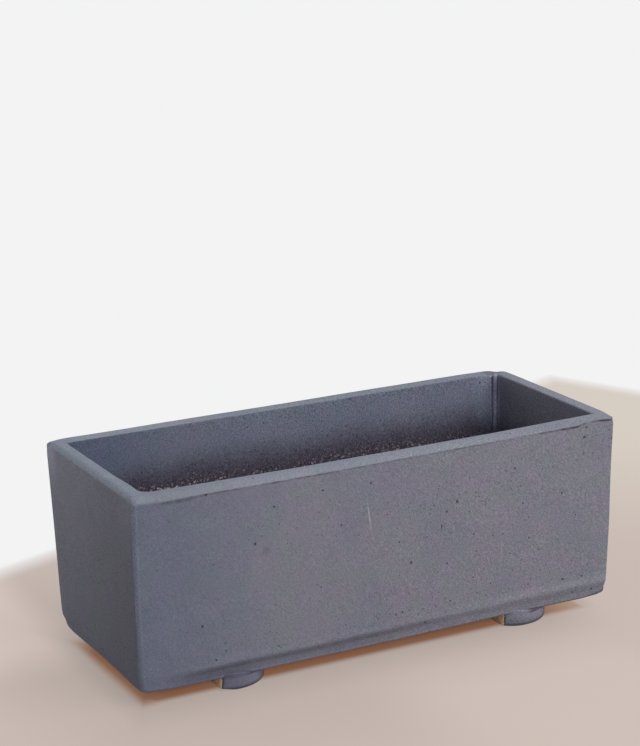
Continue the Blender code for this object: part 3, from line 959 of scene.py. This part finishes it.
def inside_material():
    """The coat as it was sprayed inside: thinning out downwards over bare coarse clay."""
    shader = Shader(bpy.data.materials.new("charcoal_coat_fading"))
    place = shader.place()
    x, y, z = place.split()
    to_x, _, _ = shader.facing()
    colour, height, roughness = coat(place, 0.14)
    # Painted light: the inside is warmer on faces turned to the left and cooler on the others, and painted shade
    # darkens it towards the left end.
    colour = colour.tinted(to_x.fade(-0.8, -0.4).between(*INSIDE_LIGHT_TINTS))
    colour = colour.shaded(x.step(-112, -30, 0.92, 1.02))
    crater = place.roughened(0.9, 0.4)
    in_place = x.step(98, 99) * y.step(38, 39)
    colour = colour.mixed(crater.spot(104.4, 91.6, 1.5, 1.5) * in_place * 0.35, COAT_LIGHT)
    colour = colour.mixed(crater.spot(104.2, 91.1, 0.7, 0.8) * in_place * 0.8, PIT)
    # Painted light on the back right corner's bead and the wall faces beside it, weaker towards the rim.
    bead = x.step(109.6, 110.6) * y.step(37, 39) * 0.7
    near_bead_light = x.step(97, 109) * y.step(32, 40) * to_x.step(-0.8, -0.4, 0.15, 0.65)
    colour = colour.shaded((bead + near_bead_light) * z.step(74, 92, 1, 0.5) + 1)
    depth = z * -1 + RIM_Z + place.noise(18) * 8 + place.noise(1.8, 3, 0.75) * 12
    depth = depth + x.math("ABSOLUTE").step(80, 116, 0, -6)
    bare = depth.step(19, 39)
    shown = depth.step(34, 41) * x.step(-60, -10, 1, 0.45)
    clay, clay_height = bare_clay(place, DARK_CLAY, 0.66, shown)
    return shader.finish(colour.mixed(bare, clay), height + clay_height * bare, roughness)


def floor_clay_material():
    """Charcoal coat on the slab's edge, bare clay on its underside and its top."""
    shader = Shader(bpy.data.materials.new("floor_clay"))
    place = shader.place()
    colour, height, roughness = marked_coat(place)
    clay, clay_height = bare_clay(place, DARK_CLAY, 0.2)
    level = shader.facing()[2].math("ABSOLUTE") + place.noise(2.5, 3, 0.6) * 0.2
    bare = level.step(0.98, 1.06)
    return shader.finish(colour.mixed(bare, clay), height + clay_height * bare, roughness)


def foot_material():
    """A foot: coated on its sides, tan clay on its cut end and its sole, with a dark line where the coat ends,
    painted shade along its sole, at its top and where it meets the slab, painted light on the right feet and a
    painted glint.
    """
    shader = Shader(bpy.data.materials.new("foot_clay"))
    place = shader.place()
    x, _, z = place.split()
    colour, height, _ = coat(place)
    from_cut = shader.share("from_cut") + place.noise(1.2, 3) * 0.5
    line = from_cut.step(0.45, 0.7) * from_cut.fade(0.9, 1.4)
    # Painted shade along the sole, where the foot meets the table.
    sole_shade = z.fade(0.8, 2.1) * 0.9
    # Painted shade in the joint under the floor slab.
    joint_shade = z.step(SLAB_BOTTOM - 1, SLAB_BOTTOM - 0.3) * from_cut.step(10, 15)
    glint = from_cut.step(19, 25) * z.step(2, 3.5) * z.fade(4.6, 5.6) * x.step(-50, 0, 0.42, 0)
    # Painted shade at the top of the left feet, under the slab.
    top = z.step(SLAB_BOTTOM - 1.2, SLAB_BOTTOM) * x.step(-50, 0, -0.3, 0)
    # Painted light and shade up the side: lighter towards the top, darker towards the sole, most on the right feet.
    up = z.step(0.5, 4.5, x.step(-40, 40, 0.94, 0.78), x.step(-40, 40, 1, 1.05))
    # Painted light: the right feet are lighter overall.
    colour = colour.tinted(FOOT_TINT).shaded(x.step(-40, 40, 1.02, 1.18)).shaded(up).shaded(glint + top + 1)
    colour = colour.mixed(line.larger(sole_shade).larger(joint_shade) * 0.8, FOOT_EDGE_AND_SHADE)
    tan, tan_height = bare_clay(place, TAN_CLAY, 0.4)
    bare = from_cut.fade(0.45, 0.75).larger(shader.facing()[2].fade(-0.95, -0.85))
    colour, height = colour.mixed(bare, tan), height + tan_height * bare
    return shader.finish(colour, height, bare.step(0, 1, 0.55, 0.9), 0.4)


def dress(pieces):
    """Gives each piece its place and its materials."""
    outside, inside = outside_material(), inside_material()
    looks = {
        "wall": ("charcoal_wall", (outside, inside)),
        "floor_slab": ("floor_clay", (floor_clay_material(),)),
        "floor_coil": ("coil_clay", (inside,)),
        "corner_coil": ("coil_clay", (inside,)),
        "foot": ("foot_clay", (foot_material(),)),
    }
    for piece, node in pieces:
        slot, materials = next(look for key, look in looks.items() if node.startswith(key))
        for material in materials:
            piece.data.materials.append(material)
        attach(piece, "root")
        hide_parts(node)


# The stage: pale wood colour up to two lines behind the pot, each a point with the way out past it, then white
WHITE = srgb(243, 243, 244)
TABLE = srgb(202, 187, 179)
TABLE_FAR = srgb(217, 207, 195)
# Colours of the shadow painted on the floor round the pot
SHADE = srgb(134, 94, 72)
SHADE_DEEP = srgb(72, 46, 42)
SHADE_LEFT = srgb(146, 110, 84)
SHADE_RIGHT = srgb(178, 146, 118)
OPEN_SHADE = 0.8
TABLE_ENDS = (((-113, 145), (-0.348, 0.938)), ((329, 301), (0.903, 0.43)))
FLOOR_SIZE = 6000


def make_stage():
    """A plain pale floor that turns white behind the pot, with painted shadow under and round the pot and painted
    light beside its left end.
    """
    ends = (-FLOOR_SIZE, FLOOR_SIZE)
    floor = make_mesh("floor", np.array([(x, y, 0) for x in ends for y in ends]), [(0, 2, 3, 1)])
    shader = Shader(bpy.data.materials.new("pale_floor"))
    place = shader.place()
    past = [place.vector("SUBTRACT", (*end, 0)).vector("DOT_PRODUCT", (*way, 0)) for end, way in TABLE_ENDS]
    far = past[0].larger(past[1]).step(-14, 8)
    x, y, _ = place.split()
    # Painted shadow under the pot's edges, darkest deep under it.
    aside = (x + 3).math("ABSOLUTE") - (HALF_LENGTH - 7)
    before = y.math("ABSOLUTE") - (HALF_WIDTH - 7)
    out = (aside * 2).larger(before)
    at_left = x.fade(-113, -107)
    near = out.step(at_left.step(0, 1, -3.5, -7), at_left.step(0, 1, 2.5, 5.5), 1, 0)
    near = near * (at_left * y.step(20, 50, 0, -0.7) + 1) * x.step(85, 124, 1, 0.6)
    shade = out.step(-19, -1).between(SHADE_DEEP, SHADE).mixed(x.step(-119, -98, 0.6, 0), SHADE_LEFT)
    shade = shade.mixed(x.step(70, 125), SHADE_RIGHT)
    table = (x + y).step(150, 520).between(TABLE, TABLE_FAR)
    # Painted shade darkening the floor near the pot, and painted light on it beside the pot's left end.
    level = x.step(-60, 30).step(0, 1, out.step(0, 150, 0.87, 1), out.step(0, 65, 0.9, 1.06))
    level = x.step(70, 130).step(0, 1, level * out.step(-5, 32, 0.82, 1), 0.99)
    level = level + x.fade(-130, -105) * y.step(0, 50, 0, 0.24)
    shown = far.between(table.shaded(level).mixed(near, shade), WHITE)
    surface = shader.made("ShaderNodeBsdfPrincipled", {"Base Color": table, "Roughness": 0.8})
    flat = shader.made("ShaderNodeEmission", {"Color": shown, "Strength": 1})
    share = shader.seen("Is Glossy Ray", "Is Transmission Ray") * far.larger(near * 0.17 + OPEN_SHADE)
    mixed = shader.made("ShaderNodeMixShader", {0: share, 1: surface, 2: flat})
    shader.node("ShaderNodeOutputMaterial", {0: mixed})
    floor.data.materials.append(shader.owner)


AMBIENT = (0.89, 0.945, 1.04, 1.0)
AMBIENT_STRENGTH = 0.62
DIM_SIDE = (-0.93, -0.3, -0.1)


def make_ambient():
    """Soft cool daylight all round, weaker from the left, seen as white."""
    world = bpy.data.worlds.new("daylight")
    bpy.context.scene.world = world
    shader = Shader(world)
    towards = shader.made("ShaderNodeTexCoord", output="Generated").vector("DOT_PRODUCT", DIM_SIDE)
    strength = towards.step(-0.1, 0.9, AMBIENT_STRENGTH, 0.55 * AMBIENT_STRENGTH)
    ambient = shader.made("ShaderNodeBackground", {"Color": AMBIENT, "Strength": strength})
    white = shader.made("ShaderNodeBackground", {"Color": WHITE})
    share = shader.seen("Is Transmission Ray")
    shader.node("ShaderNodeOutputWorld", {0: shader.made("ShaderNodeMixShader", {0: share, 1: ambient, 2: white})})


def add_lamp(name, place, aim, size, energy, colour):
    """A round soft lamp, its sizes in metres."""
    data = bpy.data.lights.new(name, "AREA")
    data.shape = "DISK"
    data.size = size
    data.energy = energy
    data.color = colour
    lamp = add_object(name, data)
    lamp.location = place
    lamp.rotation_euler = (Vector(aim) - Vector(place)).to_track_quat("-Z", "Y").to_euler()


# The camera, as worked out from the photograph's edges
CAMERA_AZIMUTH = -0.4825
CAMERA_ELEVATION = 0.264753
CAMERA_ROLL = -0.0175878
CAMERA_DISTANCE = 971.5
CAMERA_TARGET = (-6.35, MIDDLE_Y, 121.27)
IMAGE_HEIGHT = 746
FOCAL_PIXELS = 2158.63
SENSOR = 36.0


def make_camera():
    level = math.cos(CAMERA_ELEVATION)
    back = Vector((math.sin(CAMERA_AZIMUTH) * level, -math.cos(CAMERA_AZIMUTH) * level, math.sin(CAMERA_ELEVATION)))
    right = (-back).cross(Vector((0, 0, 1))).normalized()
    up = back.cross(right)
    turn, lean = math.cos(CAMERA_ROLL), math.sin(CAMERA_ROLL)
    right, up = turn * right + lean * up, -lean * right + turn * up
    data = bpy.data.cameras.new("camera")
    data.sensor_width = SENSOR
    data.lens = FOCAL_PIXELS / IMAGE_HEIGHT * SENSOR
    camera = add_object("camera", data)
    matrix = Matrix((right, up, back)).transposed().to_4x4()
    matrix.translation = MM * (Vector(CAMERA_TARGET) + back * CAMERA_DISTANCE)
    camera.matrix_world = matrix
    bpy.context.scene.camera = camera


make_camera()
make_stage()
make_ambient()
add_lamp("key", (0.6, -0.85, 0.98), (0.03, 0.0, 0.05), 1.5, 17.5, (1.0, 0.98, 0.955))
add_lamp("wall_bounce", (-0.27, 0.3, 0.12), (-0.12, 0.04, 0.06), 0.22, 0.31, (1.0, 0.99, 0.99))
dress(make_walls() + make_floor() + make_floor_coils() + make_corner_coils() + make_feet())
bpy.context.scene.view_settings.view_transform = "Standard"
